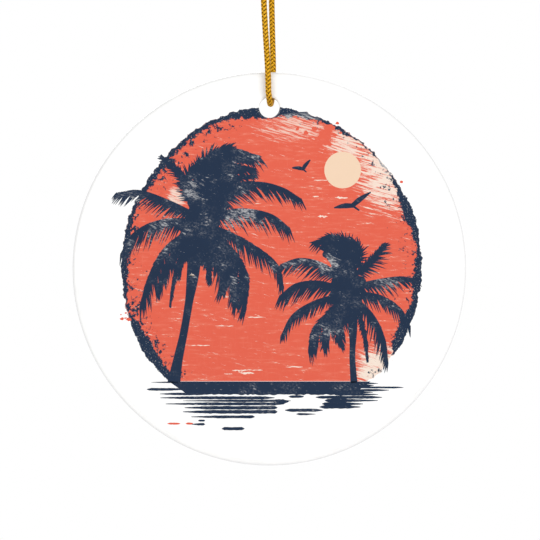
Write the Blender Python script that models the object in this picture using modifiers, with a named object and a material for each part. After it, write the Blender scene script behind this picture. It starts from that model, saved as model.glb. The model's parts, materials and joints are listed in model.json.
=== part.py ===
"""Round glazed ceramic ornament on a loop of braided cord.

Metres, +Z up, printed face towards -Y. The origin is the point where a hook
bears inside the cord loop, right under the knot; everything hangs from it.
"""

import math

import bmesh
import bpy
from mathutils import Vector

# ---------------------------------------------------------------- driving sizes
DISC_DIAMETER = 0.073
BLANK_THICKNESS = 0.0029
RIM_RADIUS = 0.0009  # rounding of the blank's outer edge

HOLE_DIAMETER = 0.0038
HOLE_TO_RIM = 0.0066  # from the hole's centre to the top of the disc
HOLE_EDGE_RADIUS = 0.0003
HOLE_EDGE_SHARE = 0.9  # how much of that radius lies inside the blank's face

COAT_THICKNESS = 0.00005
COAT_GAP = 0.00002
COAT_MARGIN = 0.00002  # how far a coat stops short of a rounded edge

CORD_DIAMETER = 0.001
STRAND_AIR = 0.00004  # air between the two strands where they run side by side
CORD_TO_FACE = 0.00028  # air between a hanging strand and the disc's face
CORD_TO_HOLE = 0.00007  # air between the bight and the hole's rounded edge
LOOP_DROP = 0.052  # from the hook's bearing point to the hole's centre

KNOT_WIDTH = 0.0038
KNOT_DEPTH = 0.0032
KNOT_HEIGHT = 0.0042
KNOT_LIFT = 0.00015  # the knot's underside above the hook's bearing point
KNOT_TO_STRAND = 0.0005
KNOT_TO_TAIL = 0.00025

SIDE_SWING_DROP = 0.0
FORE_SWING_DROP = 0.010
TWIST_DROP = 0.022
SWING_GAP = 0.00045  # open length of cord where a strand bends
TWIST_GAP = 0.0003  # open length of cord where the two strands turn

# ------------------------------------------------------------- facets and steps
RIM_STEPS = 128
RIM_ARC_STEPS = 5
HOLE_STEPS = 40
HOLE_ARC_STEPS = 5
KNOT_RINGS = 12
KNOT_SEGMENTS = 20
CORD_BEVEL_RESOLUTION = 2
CORD_POINT_STEP = 2.0 * CORD_DIAMETER
BIGHT_POINT_STEP = 0.7 * CORD_DIAMETER
CURVE_SUBSTEPS = 12
BIGHT_ARC_POINTS = 9
MERGE_DISTANCE = 0.00001

# ----------------------------------------------------------- what follows from them
CORD_RADIUS = CORD_DIAMETER / 2
DISC_RADIUS = DISC_DIAMETER / 2
HOLE_RADIUS = HOLE_DIAMETER / 2
HALF_BLANK = BLANK_THICKNESS / 2
HALF_DISC = HALF_BLANK + COAT_GAP + COAT_THICKNESS
HOLE_TO_CENTRE = DISC_RADIUS - HOLE_TO_RIM
HOLE_Z = -LOOP_DROP

STRAND_Y = HALF_DISC + CORD_TO_FACE + CORD_RADIUS
EDGE_CENTRE_Y = HALF_BLANK - HOLE_EDGE_SHARE * HOLE_EDGE_RADIUS
EDGE_REACH = STRAND_Y - CORD_RADIUS - HOLE_EDGE_RADIUS - CORD_TO_HOLE
BIGHT_CENTRE_Z = HOLE_Z + HOLE_RADIUS + HOLE_EDGE_RADIUS + math.sqrt(EDGE_REACH**2 - EDGE_CENTRE_Y**2)

MM = 0.001


def cord_route():
    """The loop's own points, from under the knot down the front, through the hole and back up."""
    # Sideways beyond where the strands all but touch, then depth, then height.
    front_upper = [
        (0.00, 0.00, 0.0),
        (0.05, 0.00, -4.0),
        (0.18, 0.00, -8.0),
        (0.32, -0.01, -11.5),
        (0.45, -0.32, -16.0),
        (0.55, -0.85, -21.0),
        (0.58, -1.35, -26.0),
    ]
    back_upper = [
        (-0.10, 1.35, -26.0),
        (-0.06, 0.85, -21.0),
        (0.00, 0.32, -16.0),
        (0.04, 0.01, -11.5),
        (0.05, 0.00, -8.0),
        (0.03, 0.00, -4.0),
        (0.00, 0.00, 0.0),
    ]
    # Side shift, share of the full distance from the disc's middle plane, height over the hole.
    front_lower = [
        (-1.02, 0.80, 20.0),
        (-0.80, 0.96, 15.5),
        (-0.54, 1.00, 11.5),
        (-0.32, 1.00, 8.0),
        (-0.20, 1.00, 5.0),
    ]
    back_lower = [
        (0.70, 1.00, 5.0),
        (0.72, 1.00, 8.0),
        (0.63, 1.00, 11.5),
        (0.53, 0.96, 15.5),
        (0.44, 0.80, 20.0),
    ]
    front_x, back_x = -0.16, 0.62
    side = CORD_RADIUS + STRAND_AIR / 2
    points = [Vector((-side - x * MM, y * MM, z * MM)) for x, y, z in front_upper]
    points += [Vector((x * MM, -share * STRAND_Y, HOLE_Z + z * MM)) for x, share, z in front_lower]
    for step in range(BIGHT_ARC_POINTS):
        share = step / (BIGHT_ARC_POINTS - 1)
        turn = math.pi * share
        x = (front_x + (back_x - front_x) * share) * MM
        y = -STRAND_Y * math.cos(turn)
        z = BIGHT_CENTRE_Z - STRAND_Y * math.sin(turn)
        points.append(Vector((x, y, z)))
    points += [Vector((x * MM, share * STRAND_Y, HOLE_Z + z * MM)) for x, share, z in back_lower]
    points += [Vector((side + x * MM, y * MM, z * MM)) for x, y, z in back_upper]
    return points


def tail_route(side):
    """A short free end above the knot, leaning out on its own side and sinking at its tip."""
    front = [
        (-0.55, -0.15, 0.0),
        (-1.05, -0.30, 1.5),
        (-2.05, -0.55, 3.2),
        (-3.40, -0.90, 4.7),
        (-4.95, -1.20, 5.4),
    ]
    back = [
        (0.50, 0.25, 0.0),
        (0.75, 0.50, 1.7),
        (1.45, 0.90, 3.5),
        (2.60, 1.30, 5.0),
        (4.00, 1.60, 5.9),
    ]
    points = front if side == "front" else back
    foot_x, foot_y, _ = points[0]
    reach = math.hypot(foot_x * MM / (KNOT_WIDTH / 2), foot_y * MM / (KNOT_DEPTH / 2))
    foot_z = KNOT_LIFT + KNOT_HEIGHT / 2 * (1 + math.sqrt(1 - reach**2)) + KNOT_TO_TAIL
    return [Vector((x * MM, y * MM, foot_z + z * MM)) for x, y, z in points]


# ------------------------------------------------------------------ smooth curves
def smooth_curve(points, substeps=CURVE_SUBSTEPS):
    """A Catmull-Rom curve through every point, as a dense polyline."""
    first = points[0] * 2 - points[1]
    last = points[-1] * 2 - points[-2]
    padded = [first, *points, last]
    dense = []
    for a, b, c, d in zip(padded, padded[1:], padded[2:], padded[3:]):
        for step in range(substeps):
            t = step / substeps
            cubic = (3 * b - 3 * c + d - a) * t**3
            square = (2 * a - 5 * b + 4 * c - d) * t**2
            dense.append((2 * b + (c - a) * t + square + cubic) / 2)
    dense.append(points[-1].copy())
    return dense


def point_at_height(dense, height, from_end=False):
    """The first point, from one end, where the route comes down past a height, and its index."""
    order = range(len(dense) - 1)
    for index in reversed(order) if from_end else order:
        a, b = dense[index], dense[index + 1]
        if min(a.z, b.z) <= height < max(a.z, b.z):
            return index, a.lerp(b, (height - a.z) / (b.z - a.z))
    raise ValueError(f"the route never passes {height}")


def cut_route(dense, top, bottom, from_end=False):
    """The stretch of one strand between two heights, running downwards."""
    high, high_point = point_at_height(dense, top, from_end)
    low, low_point = point_at_height(dense, bottom, from_end)
    if from_end:
        return [high_point, *reversed(dense[low + 1 : high + 1]), low_point]
    return [high_point, *dense[high + 1 : low + 1], low_point]


def cut_bight(dense, top):
    """The lowest stretch: down the front strand, through the hole and up the back strand."""
    start, start_point = point_at_height(dense, top)
    end, end_point = point_at_height(dense, top, from_end=True)
    return [start_point, *dense[start + 1 : end + 1], end_point]


def respaced(dense, step_for):
    """The polyline read again at even steps, whose length may depend on the place."""
    kept = [dense[0]]
    travelled = 0.0
    for a, b in zip(dense, dense[1:]):
        travelled += (b - a).length
        if travelled >= step_for(b):
            kept.append(b)
            travelled = 0.0
    if (kept[-1] - dense[-1]).length < CORD_RADIUS:
        kept.pop()
    kept.append(dense[-1])
    return kept


def cord_step(point):
    """Points stand close together where the cord turns through the hole."""
    turning = point.z < BIGHT_CENTRE_Z + CORD_DIAMETER
    return BIGHT_POINT_STEP if turning else CORD_POINT_STEP


# ---------------------------------------------------------------------- materials
def make_material(name, colour, roughness, metallic=0.0):
    material = bpy.data.materials.new(name)
    material.use_nodes = True
    shader = material.node_tree.nodes["Principled BSDF"]
    shader.inputs["Base Color"].default_value = (*colour, 1.0)
    shader.inputs["Roughness"].default_value = roughness
    shader.inputs["Metallic"].default_value = metallic
    return material


# ------------------------------------------------------------------ scene helpers
def clear_scene():
    for obj in list(bpy.data.objects):
        bpy.data.objects.remove(obj)


def make_collection(name):
    collection = bpy.data.collections.new(name)
    bpy.context.scene.collection.children.link(collection)
    return collection


def add_object(name, data, collection, parent, location=(0.0, 0.0, 0.0)):
    obj = bpy.data.objects.new(name, data)
    collection.objects.link(obj)
    obj.parent = parent
    obj.location = location
    return obj


def add_axis(name, collection, parent, world_z):
    """An empty on a joint's axis. Every joint of this part lies on the Z axis."""
    empty = add_object(name, None, collection, parent)
    above = parent.matrix_world.translation.z if parent else 0.0
    empty.location.z = world_z - above
    empty.empty_display_size = CORD_DIAMETER * 4
    bpy.context.view_layer.update()
    return empty


def add_turned(name, profile, steps, collection, parent, location):
    """A solid turned about its own Z, laid over so that this Z points at the front."""
    mesh = bpy.data.meshes.new(name)
    edges = [(index, index + 1) for index in range(len(profile) - 1)]
    mesh.from_pydata([(radius, 0.0, height) for radius, height in profile], edges, [])
    obj = add_object(name, mesh, collection, parent, location)
    obj.rotation_euler.x = math.radians(90)
    screw = obj.modifiers.new("turn", "SCREW")
    screw.axis = "Z"
    screw.angle = 2 * math.pi
    screw.steps = steps
    screw.render_steps = steps
    screw.use_merge_vertices = True
    screw.merge_threshold = MERGE_DISTANCE
    screw.use_smooth_shade = True
    return obj


def add_cut(obj, cutter):
    cut = obj.modifiers.new("hanging hole", "BOOLEAN")
    cut.operation = "DIFFERENCE"
    cut.solver = "EXACT"
    cut.object = cutter


def mark_cutter(obj):
    obj.hide_render = True
    obj.display_type = "WIRE"


def add_cord(name, points, collection, parent, material):
    """A plain round tube along the points, closed at both ends."""
    pivot = parent.matrix_world.translation
    curve = bpy.data.curves.new(name, "CURVE")
    curve.dimensions = "3D"
    curve.bevel_depth = CORD_RADIUS
    curve.bevel_resolution = CORD_BEVEL_RESOLUTION
    curve.use_fill_caps = True
    spline = curve.splines.new("POLY")
    spline.points.add(len(points) - 1)
    for slot, point in zip(spline.points, points):
        slot.co = (*(point - pivot), 1.0)
    spline.use_smooth = True
    curve.materials.append(material)
    return add_object(name, curve, collection, parent)


# -------------------------------------------------------------------- ceramic disc
def blank_profile():
    """Front face, rounded rim and back face of the fired blank."""
    middle = DISC_RADIUS - RIM_RADIUS
    profile = [(0.0, HALF_BLANK)]
    for side in (1, -1):
        for step in range(RIM_ARC_STEPS + 1):
            turn = math.radians(90) * step / RIM_ARC_STEPS
            turn = math.radians(90) - turn if side > 0 else turn
            radius = middle + RIM_RADIUS * math.cos(turn)
            height = side * (HALF_BLANK - RIM_RADIUS + RIM_RADIUS * math.sin(turn))
            profile.append((radius, height))
    profile.append((0.0, -HALF_BLANK))
    return profile


def hole_profile():
    """The hanging hole as a solid: a straight bore that opens in a rounded edge at each face."""
    edge = HOLE_RADIUS + HOLE_EDGE_RADIUS
    reach = EDGE_CENTRE_Y + HOLE_EDGE_RADIUS
    above = reach + HOLE_EDGE_RADIUS
    profile = [(0.0, above), (edge, above)]
    for side in (1, -1):
        for step in range(HOLE_ARC_STEPS + 1):
            turn = math.radians(90) * step / HOLE_ARC_STEPS
            turn = math.radians(90) - turn if side > 0 else turn
            radius = edge - HOLE_EDGE_RADIUS * math.cos(turn)
            height = side * (EDGE_CENTRE_Y + HOLE_EDGE_RADIUS * math.sin(turn))
            profile.append((radius, height))
    profile += [(edge, -above), (0.0, -above)]
    return profile


def add_ceramic_blank(parts, cutters, axis):
    centre = (0.0, 0.0, -HOLE_TO_CENTRE)
    blank = add_turned("ceramic_blank", blank_profile(), RIM_STEPS, parts, axis, centre)
    blank.data.materials.append(make_material("ceramic glaze", (0.88, 0.88, 0.87), 0.12))
    cutter = add_turned("hanging_hole_cutter", hole_profile(), HOLE_STEPS, cutters, axis, (0, 0, 0))
    mark_cutter(cutter)
    add_cut(blank, cutter)


def add_coat(name, side, colour, parts, cutters, axis):
    """The thin glossy polymer coat on one face; the front one holds the picture's dye."""
    inner = side * (HALF_BLANK + COAT_GAP)
    outer = side * HALF_DISC
    top = max(inner, outer)
    bottom = min(inner, outer)
    radius = DISC_RADIUS - RIM_RADIUS - COAT_MARGIN
    profile = [(0.0, top), (radius, top), (radius, bottom), (0.0, bottom)]
    coat = add_turned(name, profile, RIM_STEPS, parts, axis, (0.0, 0.0, -HOLE_TO_CENTRE))
    coat.data.materials.append(make_material(name.replace("_", " "), colour, 0.08))
    hole_radius = HOLE_RADIUS + HOLE_EDGE_RADIUS + COAT_MARGIN
    reach = HALF_DISC + BLANK_THICKNESS
    bore = [(0.0, reach), (hole_radius, reach), (hole_radius, -reach), (0.0, -reach)]
    cutter = add_turned(name + "_cutter", bore, HOLE_STEPS, cutters, axis, (0, 0, 0))
    mark_cutter(cutter)
    add_cut(coat, cutter)


# ---------------------------------------------------------------------- cord loop
def add_knot(parts, hang_point):
    """The outer shape of the overhand knot that closes the loop."""
    mesh = bpy.data.meshes.new("overhand_knot")
    shape = bmesh.new()
    bmesh.ops.create_uvsphere(shape, u_segments=KNOT_SEGMENTS, v_segments=KNOT_RINGS, radius=0.5)
    bmesh.ops.scale(shape, vec=(KNOT_WIDTH, KNOT_DEPTH, KNOT_HEIGHT), verts=shape.verts)
    shape.to_mesh(mesh)
    shape.free()
    mesh.shade_smooth()
    mesh.materials.append(make_material("knot gold braid", (0.76, 0.40, 0.03), 0.42, 0.55))
    location = (0.0, 0.0, KNOT_LIFT + KNOT_HEIGHT / 2)
    add_object("overhand_knot", mesh, parts, hang_point, location)


def add_cord_loop(parts, axes):
    """The cord in stretches that part where it bends and turns, and the two tails over the knot."""
    dense = smooth_curve(cord_route())
    levels = {
        "top": (SIDE_SWING_DROP + KNOT_TO_STRAND - KNOT_LIFT, FORE_SWING_DROP - SWING_GAP / 2),
        "middle": (FORE_SWING_DROP + SWING_GAP / 2, TWIST_DROP - TWIST_GAP / 2),
    }
    gold = (0.76, 0.40, 0.03)
    for level, (top, bottom) in levels.items():
        for strand in ("front", "back"):
            name = f"{strand}_strand_{level}"
            route = cut_route(dense, -top, -bottom, from_end=strand == "back")
            material = make_material(name.replace("_", " ") + " braid", gold, 0.42, 0.55)
            add_cord(name, respaced(route, cord_step), parts, axes[level], material)
    bight = respaced(cut_bight(dense, -(TWIST_DROP + TWIST_GAP / 2)), cord_step)
    add_cord("cord_bight", bight, parts, axes["bight"], make_material("bight braid", gold, 0.42, 0.55))
    for side in ("front", "back"):
        route = respaced(smooth_curve(tail_route(side)), cord_step)
        material = make_material(f"{side} tail braid", gold, 0.42, 0.55)
        add_cord(f"{side}_tail", route, parts, axes["knot"], material)


def main():
    clear_scene()
    parts = make_collection("ceramic_ornament")
    cutters = make_collection("cutters")
    hang_point = add_axis("hang_point", parts, None, 0.0)
    side_swing = add_axis("side_swing_axis", parts, hang_point, -SIDE_SWING_DROP)
    fore_swing = add_axis("fore_swing_axis", parts, side_swing, -FORE_SWING_DROP)
    twist = add_axis("cord_twist_axis", parts, fore_swing, -TWIST_DROP)
    rock = add_axis("disc_rock_axis", parts, twist, HOLE_Z)
    add_knot(parts, hang_point)
    add_cord_loop(parts, {"knot": hang_point, "top": side_swing, "middle": fore_swing, "bight": twist})
    add_ceramic_blank(parts, cutters, rock)
    add_coat("front_coat", 1, (0.86, 0.55, 0.42), parts, cutters, rock)
    add_coat("back_coat", -1, (0.90, 0.90, 0.89), parts, cutters, rock)


main()
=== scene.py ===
# %% [markdown]
# # A printed ceramic ornament on a gold braided cord
#
# The real object is small and plain: a white glazed disc about as wide as a
# palm, a picture sublimated into the thin coat on its front, and one length of
# metallic braid laid through a hole and knotted above it. This lesson builds
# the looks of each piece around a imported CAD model, which already holds the
# sizes, the hinges and the masses. Nothing here moves or resizes that model.

import json
import math
import random

import bmesh
import bpy
import numpy as np
from mathutils import Matrix, Vector
from mathutils.geometry import delaunay_2d_cdt


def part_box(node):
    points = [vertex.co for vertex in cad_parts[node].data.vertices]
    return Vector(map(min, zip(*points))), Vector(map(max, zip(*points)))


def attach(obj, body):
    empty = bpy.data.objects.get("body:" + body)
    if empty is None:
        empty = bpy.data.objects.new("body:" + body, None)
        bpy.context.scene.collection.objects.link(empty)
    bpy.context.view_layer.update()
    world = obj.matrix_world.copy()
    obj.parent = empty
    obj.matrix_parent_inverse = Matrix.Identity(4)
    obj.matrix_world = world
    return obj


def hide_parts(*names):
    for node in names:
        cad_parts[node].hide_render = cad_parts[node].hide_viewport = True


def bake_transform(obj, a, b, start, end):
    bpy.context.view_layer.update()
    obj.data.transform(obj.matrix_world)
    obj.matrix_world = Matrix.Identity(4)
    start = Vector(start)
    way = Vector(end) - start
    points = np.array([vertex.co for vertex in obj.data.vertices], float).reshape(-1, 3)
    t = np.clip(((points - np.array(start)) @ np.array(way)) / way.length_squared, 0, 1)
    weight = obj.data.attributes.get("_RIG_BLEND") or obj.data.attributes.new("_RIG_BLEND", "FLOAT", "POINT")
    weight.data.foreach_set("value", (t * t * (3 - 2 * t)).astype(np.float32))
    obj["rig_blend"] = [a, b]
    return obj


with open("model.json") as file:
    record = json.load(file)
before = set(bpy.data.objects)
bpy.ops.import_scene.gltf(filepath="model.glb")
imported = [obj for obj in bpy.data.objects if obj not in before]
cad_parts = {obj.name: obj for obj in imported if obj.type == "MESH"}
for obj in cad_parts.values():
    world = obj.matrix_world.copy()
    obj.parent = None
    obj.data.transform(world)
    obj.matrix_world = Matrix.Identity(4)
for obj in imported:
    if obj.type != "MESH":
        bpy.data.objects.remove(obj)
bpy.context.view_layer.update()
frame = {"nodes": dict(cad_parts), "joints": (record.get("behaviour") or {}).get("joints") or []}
MM = 0.001

# %% Read the sizes off the frame
blank_low, blank_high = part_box("ceramic_blank")
HINGES = {joint["name"]: joint["pos_m"] for joint in frame["joints"]}

DISC_RADIUS = (blank_high.x - blank_low.x) / 2
HALF_BLANK = (blank_high.y - blank_low.y) / 2
DISC_CENTRE = (blank_low + blank_high) / 2
PRINT_FACE_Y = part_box("front_coat")[0].y
HOLE_Z = HINGES["disc_rock"][2]
HOLE_DROP = HOLE_Z - DISC_CENTRE.z
HOLE_RADIUS = 0.0019
HOLE_EDGE_RADIUS = 0.0003
FORE_SWING_Z = HINGES["fore_swing"][2]
print("disc radius", DISC_RADIUS, "print face y", round(PRINT_FACE_Y, 5), "hole z", HOLE_Z)

# %% Turn a bmesh into a finished piece
def finished_piece(name, bm, smooth=True):
    """Link a new object that sits at the origin and carries this mesh."""
    mesh = bpy.data.meshes.new(name)
    bm.to_mesh(mesh)
    bm.free()
    if smooth:
        mesh.shade_smooth()
    piece = bpy.data.objects.new(name, mesh)
    bpy.context.scene.collection.objects.link(piece)
    print(name, "has", len(mesh.polygons), "faces")
    return piece


# %% [markdown]
# ## The camera
#
# The ornament is seen dead straight on. A long lens from far away keeps the
# disc's rim from showing its side, as a short lens close by would. The height
# and the small sideways aim are counted from the disc's own centre.

# %% Place the camera
LENS_MM = 300
SENSOR_MM = 36
VIEW_WIDTH = 0.1001  # how much of the disc's plane the picture spans
AIM_RIGHT = 0.00013
AIM_DOWN = 0.00023

camera_data = bpy.data.cameras.new("straight_on_camera")
camera_data.lens = LENS_MM
camera_data.sensor_width = SENSOR_MM
camera_data.clip_start = 0.05
camera_data.clip_end = 20
camera = bpy.data.objects.new("straight_on_camera", camera_data)
bpy.context.scene.collection.objects.link(camera)
camera_distance = VIEW_WIDTH * LENS_MM / SENSOR_MM
camera.location = (
    DISC_CENTRE.x + AIM_RIGHT,
    PRINT_FACE_Y - camera_distance,
    DISC_CENTRE.z - AIM_DOWN,
)
camera.rotation_euler = (math.radians(90), 0, 0)
bpy.context.scene.camera = camera
print("camera stands", round(camera_distance, 3), "m away")

# %% [markdown]
# ## The cord's route
#
# A limp cord carries no bend of its own choosing: it hangs straight from
# whatever holds it and turns only where something is in its way. Here the
# loop comes down from the knot as two strands side by side, they part to
# straddle the disc, and one half turn through the hole joins them. The route
# is a short list of chosen points with a smooth curve through them, the same
# points that the CAD tubes follow, so the braid lies exactly where they lie.

# %% Choose the route's points
CORD_DIAMETER = 0.001
CORD_RADIUS = CORD_DIAMETER / 2
STRAND_AIR = 0.00004  # between the two strands where they run side by side
CORD_TO_FACE = 0.00028  # air between a hanging strand and the disc's face
CORD_TO_HOLE = 0.00007  # air between the bight and the hole's rounded edge
HOLE_EDGE_SHARE = 0.9  # how much of that rounding lies inside the blank's face
BIGHT_POINTS = 9
BIGHT_SIDE_SHIFT = (-0.16, 0.62)  # millimetres sideways, in front of the disc and behind it

STRAND_Y = CORD_RADIUS + CORD_TO_FACE - PRINT_FACE_Y
EDGE_CENTRE_Y = HALF_BLANK - HOLE_EDGE_SHARE * HOLE_EDGE_RADIUS
EDGE_REACH = STRAND_Y - CORD_RADIUS - HOLE_EDGE_RADIUS - CORD_TO_HOLE
BIGHT_LIFT = HOLE_RADIUS + HOLE_EDGE_RADIUS + math.sqrt(EDGE_REACH**2 - EDGE_CENTRE_Y**2)

# Sideways beyond where the strands all but touch, then depth, then height.
FRONT_UPPER = [
    (0.00, 0.00, 0.0), (0.05, 0.00, -4.0), (0.18, 0.00, -8.0), (0.32, -0.01, -11.5),
    (0.45, -0.32, -16.0), (0.55, -0.85, -21.0), (0.58, -1.35, -26.0),
]
BACK_UPPER = [
    (-0.10, 1.35, -26.0), (-0.06, 0.85, -21.0), (0.00, 0.32, -16.0), (0.04, 0.01, -11.5),
    (0.05, 0.00, -8.0), (0.03, 0.00, -4.0), (0.00, 0.00, 0.0),
]
# Side shift, share of the full distance from the disc's middle plane, height over the hole.
FRONT_LOWER = [
    (-1.02, 0.80, 20.0), (-0.80, 0.96, 15.5), (-0.54, 1.00, 11.5), (-0.32, 1.00, 8.0), (-0.20, 1.00, 5.0),
]
BACK_LOWER = [
    (0.70, 1.00, 5.0), (0.72, 1.00, 8.0), (0.63, 1.00, 11.5), (0.53, 0.96, 15.5), (0.44, 0.80, 20.0),
]


def cord_route():
    """The loop's points in metres, down the front strand, through the hole and up the back."""
    side = CORD_RADIUS + STRAND_AIR / 2
    points = [Vector((-side - x * MM, y * MM, z * MM)) for x, y, z in FRONT_UPPER]
    points += [Vector((x * MM, -share * STRAND_Y, HOLE_Z + z * MM)) for x, share, z in FRONT_LOWER]
    for step in range(BIGHT_POINTS):
        share = step / (BIGHT_POINTS - 1)
        x = BIGHT_SIDE_SHIFT[0] + (BIGHT_SIDE_SHIFT[1] - BIGHT_SIDE_SHIFT[0]) * share
        y = -STRAND_Y * math.cos(math.pi * share)
        z = HOLE_Z + BIGHT_LIFT - STRAND_Y * math.sin(math.pi * share)
        points.append(Vector((x * MM, y, z)))
    points += [Vector((x * MM, share * STRAND_Y, HOLE_Z + z * MM)) for x, share, z in BACK_LOWER]
    points += [Vector((side + x * MM, y * MM, z * MM)) for x, y, z in BACK_UPPER]
    return points


def smooth_curve(points, substeps=12):
    """A Catmull-Rom curve through every point, as a dense polyline."""
    padded = [points[0] * 2 - points[1], *points, points[-1] * 2 - points[-2]]
    dense = []
    for a, b, c, d in zip(padded, padded[1:], padded[2:], padded[3:]):
        for step in range(substeps):
            t = step / substeps
            cubic = (3 * b - 3 * c + d - a) * t**3
            square = (2 * a - 5 * b + 4 * c - d) * t**2
            dense.append((2 * b + (c - a) * t + square + cubic) / 2)
    dense.append(points[-1].copy())
    return np.array([tuple(point) for point in dense])


def evenly_spaced(line, step):
    """The polyline read again at even steps along its own length."""
    lengths = np.concatenate([[0], np.cumsum(np.linalg.norm(np.diff(line, axis=0), axis=1))])
    count = max(2, int(round(lengths[-1] / step)) + 1)
    wanted = np.linspace(0, lengths[-1], count)
    return np.stack([np.interp(wanted, lengths, column) for column in line.T], axis=1)


RING_STEP = 0.0001
loop_line = evenly_spaced(smooth_curve(cord_route()), RING_STEP)
print("loop centreline", round((len(loop_line) - 1) * RING_STEP, 4), "m in", len(loop_line), "rings")

# %% [markdown]
# ## The braid
#
# Metallic gift cord is a round braid: eight flat yarns round a thin core, four
# winding one way and four the other, each passing over two and under two. The
# overs line up in columns, which is why such a cord shows a row of little
# chevrons with dark pits between them. A bump map on a tube would lose the
# outline and the pits, so each yarn is a real flattened strand here. It starts
# as a straight capped prism that is cut into rings, and each ring is then
# carried to its place on the yarn's helix, with its flat side facing outwards.

# %% Carry a steady frame along a line
def line_frames(line):
    """Tangent and two side directions at each point, turned as little as possible from ring to ring."""
    tangent = np.gradient(line, axis=0)
    tangent /= np.linalg.norm(tangent, axis=1)[:, None]
    first = np.array([0.0, -1.0, 0.0])
    first -= tangent[0] * (first @ tangent[0])
    normal = np.empty_like(line)
    normal[0] = first / np.linalg.norm(first)
    for index in range(1, len(line)):
        carried = normal[index - 1] - tangent[index] * (normal[index - 1] @ tangent[index])
        normal[index] = carried / np.linalg.norm(carried)
    return tangent, normal, np.cross(tangent, normal)


# %% Choose the yarns
YARNS_EACH_WAY = 4
LAY_LENGTH = 0.00290  # length of cord in which a yarn goes once round
YARN_HALF_WIDTH = 0.00022
YARN_HALF_THICKNESS = 0.0001
YARN_SIDES = 8
CROWN_RADIUS = CORD_RADIUS + 0.00008  # a braid's crowns stand a little proud of its nominal size
OVER_RADIUS = CROWN_RADIUS - YARN_HALF_THICKNESS
UNDER_RADIUS = OVER_RADIUS - 1.5 * YARN_HALF_THICKNESS
CORE_RADIUS = 0.00026
CORE_SIDES = 10
COLUMN_TURN = math.radians(22)  # puts a row of pits a little to one side of the strand's front
FRAY_LENGTH = 0.0009
FRAY_SPREAD = 0.5
print("yarns lie", round(UNDER_RADIUS / MM, 3), "to", round(OVER_RADIUS / MM, 3), "mm off the middle")


def helix(line, sides_of_line, way, number, start_length, spread):
    """Centre line of one yarn, and its outward direction at each ring."""
    _, normal, side = sides_of_line
    travelled = start_length + np.arange(len(line)) * RING_STEP
    turn = 2 * math.pi * (way * travelled / LAY_LENGTH + (number + way * 0.25) / YARNS_EACH_WAY)
    rise = way * np.cos(2 * (turn + COLUMN_TURN))
    rise = rise / np.sqrt(rise**2 + 0.15)
    radius = spread * ((OVER_RADIUS + UNDER_RADIUS) / 2 + rise * (OVER_RADIUS - UNDER_RADIUS) / 2)
    outward = normal * np.cos(turn)[:, None] + side * np.sin(turn)[:, None]
    return line + outward * radius[:, None], outward


# %% Make one yarn from a straight prism
def carried_prism(bm, line, centre, outward, half_width, half_thickness, sides):
    """A capped prism cut into rings, each ring then carried to its place along a centre line."""
    rings = len(centre)
    made = bmesh.ops.create_cone(bm, cap_ends=True, segments=sides, radius1=1, radius2=1, depth=1)
    edges = dict.fromkeys(edge for vert in made["verts"] for edge in vert.link_edges)
    uprights = [edge for edge in edges if edge.verts[0].co.z * edge.verts[1].co.z < 0]
    bmesh.ops.subdivide_edges(bm, edges=uprights, cuts=rings - 2, use_grid_fill=True)

    along = np.gradient(centre, axis=0)
    along /= np.linalg.norm(along, axis=1)[:, None]
    across = np.cross(outward, along)
    across /= np.linalg.norm(across, axis=1)[:, None]
    facing = np.cross(along, across)
    across_layer = bm.verts.layers.float["across_yarn"]
    depth_layer = bm.verts.layers.float["height_in_cord"]
    for vert in bm.verts:
        if vert.tag:
            continue
        vert.tag = True
        ring = round((vert.co.z + 0.5) * (rings - 1))
        vert[across_layer] = vert.co.x
        place = centre[ring] + across[ring] * (vert.co.x * half_width)
        place = place + facing[ring] * (vert.co.y * half_thickness)
        vert[depth_layer] = np.linalg.norm(place - line[ring]) / CROWN_RADIUS
        vert.co = place


# %% Braid a whole stretch
def braided_piece(name, stretches):
    """One mesh of braided cord. Each stretch is (line, its start along the cord, frayed end or not)."""
    bm = bmesh.new()
    bm.verts.layers.float.new("across_yarn")
    bm.verts.layers.float.new("height_in_cord")
    for line, start_length, frayed in stretches:
        sides_of_line = line_frames(line)
        to_end = (len(line) - 1 - np.arange(len(line))) * RING_STEP
        spread = 1 + FRAY_SPREAD * frayed * np.clip(1 - to_end / FRAY_LENGTH, 0, 1) ** 2
        for way in (1, -1):
            for number in range(YARNS_EACH_WAY):
                centre, outward = helix(line, sides_of_line, way, number, start_length, spread)
                carried_prism(bm, line, centre, outward, YARN_HALF_WIDTH, YARN_HALF_THICKNESS, YARN_SIDES)
        carried_prism(bm, line, line, sides_of_line[1], CORE_RADIUS, CORE_RADIUS, CORE_SIDES)
    piece = finished_piece(name, bm)
    piece.data.materials.append(gold_braid)
    return piece


# %% [markdown]
# ## Where the cord is divided
#
# The braid is one cord, but it bends at two hinges and twists at a third, and
# a mesh may bend across one hinge only. So it is cut at heights where it moves
# as one rigid body, and the braid's pattern is counted from one common start,
# which makes the cuts invisible. The lowest piece runs down the front strand,
# through the hole and up the back as one unbroken line.

# %% Cut the loop into stretches
gold_braid = bpy.data.materials.new("gold_braid")  # its nodes are filled in further on
LOOP_CUTS = (-0.005, -0.0155)


def rows_between(top, bottom, from_end=False):
    """First and last ring of one strand between two heights."""
    heights = loop_line[:, 2]
    half = len(heights) // 2
    span = range(half, len(heights)) if from_end else range(half)
    inside = [row for row in span if bottom <= heights[row] <= top]
    return inside[0], inside[-1]


def strand_stretch(top, bottom, from_end=False):
    """One strand's line between two heights, a ring longer at each end so that the cuts meet."""
    first, last = rows_between(top, bottom, from_end)
    first, last = max(first - 1, 0), min(last + 1, len(loop_line) - 1)
    return loop_line[first : last + 1], first * RING_STEP, False


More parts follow.
